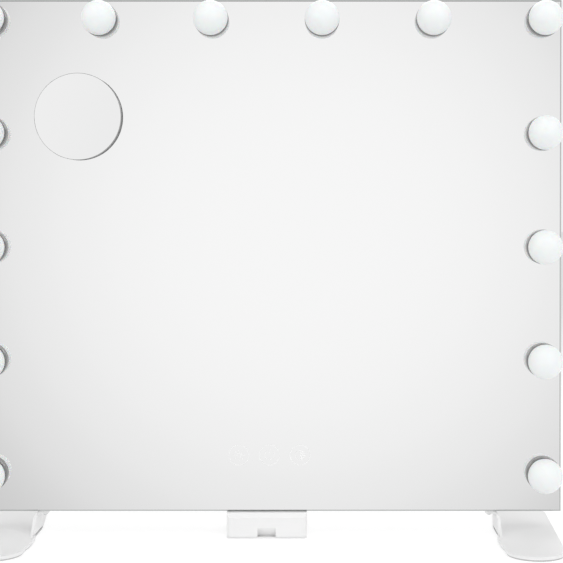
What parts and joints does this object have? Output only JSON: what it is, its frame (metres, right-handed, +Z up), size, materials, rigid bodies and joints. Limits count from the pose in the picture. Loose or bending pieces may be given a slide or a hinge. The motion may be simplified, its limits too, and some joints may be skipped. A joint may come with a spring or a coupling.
{
  "type": "lighted tabletop vanity mirror",
  "caption": "Tabletop vanity mirror with globe lamps on three sides, a round magnifier, touch keys, a power hub and bent feet.",
  "frame": {"origin": "on the table, under the middle of the whole stand (bottom centre of the bounding box)", "axes": "+X to the right of someone looking at the mirror, +Y to the back of the mirror, +Z up; the glass faces -Y"},
  "size_m": [0.6, 0.208, 0.547],
  "materials": {
    "silvered_glass": "polished",
    "frame_aluminium": "satin",
    "zinc_steel": "satin",
    "white_paint": "gloss",
    "chrome": "polished",
    "frosted_globe": "frosted",
    "circuit_board": "matte",
    "black_plastic": "matte",
    "white_plastic": "gloss",
    "rubber": "matte"
  },
  "bodies": {
    "stand": {"mirror_glass": "silvered_glass", "frame_rail_bottom": "frame_aluminium", "frame_rail_right": "frame_aluminium", "frame_rail_top": "frame_aluminium", "frame_rail_left": "frame_aluminium", "corner_bracket_bottom_left": "zinc_steel", "corner_bracket_bottom_right": "zinc_steel", "corner_bracket_top_right": "zinc_steel", "corner_bracket_top_left": "zinc_steel", "back_panel": "white_paint", "lamp_collar_top_1": "chrome", "lamp_globe_top_1": "frosted_globe", "lamp_collar_top_2": "chrome", "lamp_globe_top_2": "frosted_globe", "lamp_collar_top_3": "chrome", "lamp_globe_top_3": "frosted_globe", "lamp_collar_top_4": "chrome", "lamp_globe_top_4": "frosted_globe", "lamp_collar_top_5": "chrome", "lamp_globe_top_5": "frosted_globe", "lamp_collar_top_6": "chrome", "lamp_globe_top_6": "frosted_globe", "lamp_collar_left_1": "chrome", "lamp_globe_left_1": "frosted_globe", "lamp_collar_left_2": "chrome", "lamp_globe_left_2": "frosted_globe", "lamp_collar_left_3": "chrome", "lamp_globe_left_3": "frosted_globe", "lamp_collar_left_4": "chrome", "lamp_globe_left_4": "frosted_globe", "lamp_collar_right_1": "chrome", "lamp_globe_right_1": "frosted_globe", "lamp_collar_right_2": "chrome", "lamp_globe_right_2": "frosted_globe", "lamp_collar_right_3": "chrome", "lamp_globe_right_3": "frosted_globe", "lamp_collar_right_4": "chrome", "lamp_globe_right_4": "frosted_globe", "led_strip_top": "circuit_board", "led_strip_left": "circuit_board", "led_strip_right": "circuit_board", "touch_sensor_board": "circuit_board", "control_board": "circuit_board", "wiring_harness": "black_plastic", "foot_left": "white_paint", "foot_pad_left": "rubber", "foot_screw_left_front": "zinc_steel", "foot_screw_left_rear": "zinc_steel", "foot_right": "white_paint", "foot_pad_right": "rubber", "foot_screw_right_front": "zinc_steel", "foot_screw_right_rear": "zinc_steel", "hub_housing": "white_plastic", "hub_base_cover": "white_plastic", "hub_board": "circuit_board", "dc_socket": "black_plastic", "hub_screw": "zinc_steel"},
    "magnifier": {"magnifier_dish": "chrome", "magnifier_mirror": "silvered_glass", "magnifier_pad": "rubber"}
  },
  "joints": [
    {"name": "magnifier_lift", "type": "slide", "parent": "stand", "child": "magnifier", "axis": [0, -1, 0], "range_m": [0, 0.06]}
  ]
}
